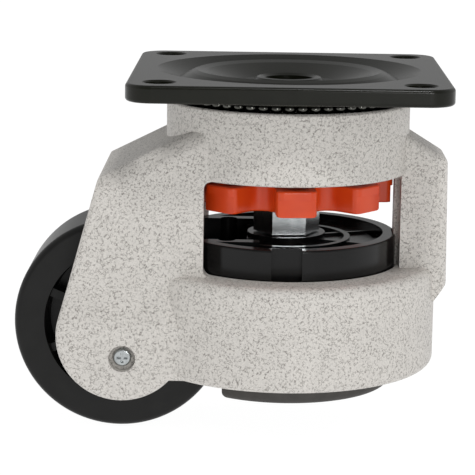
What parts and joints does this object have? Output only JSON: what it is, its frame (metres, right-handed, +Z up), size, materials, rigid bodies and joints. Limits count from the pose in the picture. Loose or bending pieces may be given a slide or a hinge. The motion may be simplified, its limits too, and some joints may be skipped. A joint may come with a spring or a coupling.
{
  "type": "levelling castor",
  "caption": "Swivel plate castor with a small hard wheel in a die-cast housing and a screw-driven rubber foot, turned by a thumbwheel, that lifts the wheel off the floor.",
  "frame": {"origin": "centre of the top plate's upper face, on the swivel axis", "axes": "+Z up out of the plate along the swivel axis, -X towards the trailing wheel, Y along the wheel's axle"},
  "size_m": [0.1016, 0.073, 0.0845],
  "materials": {
    "plate_paint": "satin olive-black paint",
    "housing_paint": "fine textured ivory paint on a die casting",
    "zinc_steel": "bright zinc plated",
    "bearing_steel": "ground and hardened",
    "brass_bush": "turned",
    "orange_plastic": "satin orange-red moulding",
    "black_plastic": "smooth black moulding",
    "black_nylon": "smooth black nylon",
    "pad_rubber": "dark grey rubber"
  },
  "bodies": {
    "plate": {"top_plate": "plate_paint", "kingpin": "plate_paint", "upper_balls": "bearing_steel"},
    "casting": {"housing": "housing_paint", "upper_race": "bearing_steel", "lower_race": "bearing_steel", "lower_balls": "bearing_steel", "spindle_bush": "brass_bush", "thrust_washer": "bearing_steel", "axle": "zinc_steel", "axle_washers": "zinc_steel", "axle_screws": "zinc_steel"},
    "foot": {"foot_piston": "black_plastic", "spindle": "zinc_steel", "foot_plate": "zinc_steel", "rubber_pad": "pad_rubber", "foot_screws": "zinc_steel"},
    "adjuster": {"spindle_nut": "zinc_steel", "thumbwheel": "orange_plastic", "nut_clip": "bearing_steel"},
    "roller": {"wheel": "black_nylon", "wheel_sleeve": "bearing_steel"}
  },
  "joints": [
    {"name": "swivel", "type": "hinge", "parent": "plate", "child": "casting", "pos_m": [0, 0, 0], "axis": [0, 0, 1], "continuous": true},
    {"name": "wheel_spin", "type": "hinge", "parent": "casting", "child": "roller", "pos_m": [-0.0388, 0, -0.05947], "axis": [0, 1, 0], "continuous": true},
    {"name": "foot_slide", "type": "slide", "parent": "casting", "child": "foot", "axis": [0, 0, -1], "range_m": [0, 0.013]},
    {"name": "thumb_turn", "type": "hinge", "parent": "casting", "child": "adjuster", "pos_m": [0, 0, -0.028], "axis": [0, 0, 1], "range_deg": [0, 3120]}
  ],
  "couplings": [
    {"joint": "thumb_turn", "follows": "foot_slide", "rad_per_m": 4188.7}
  ]
}
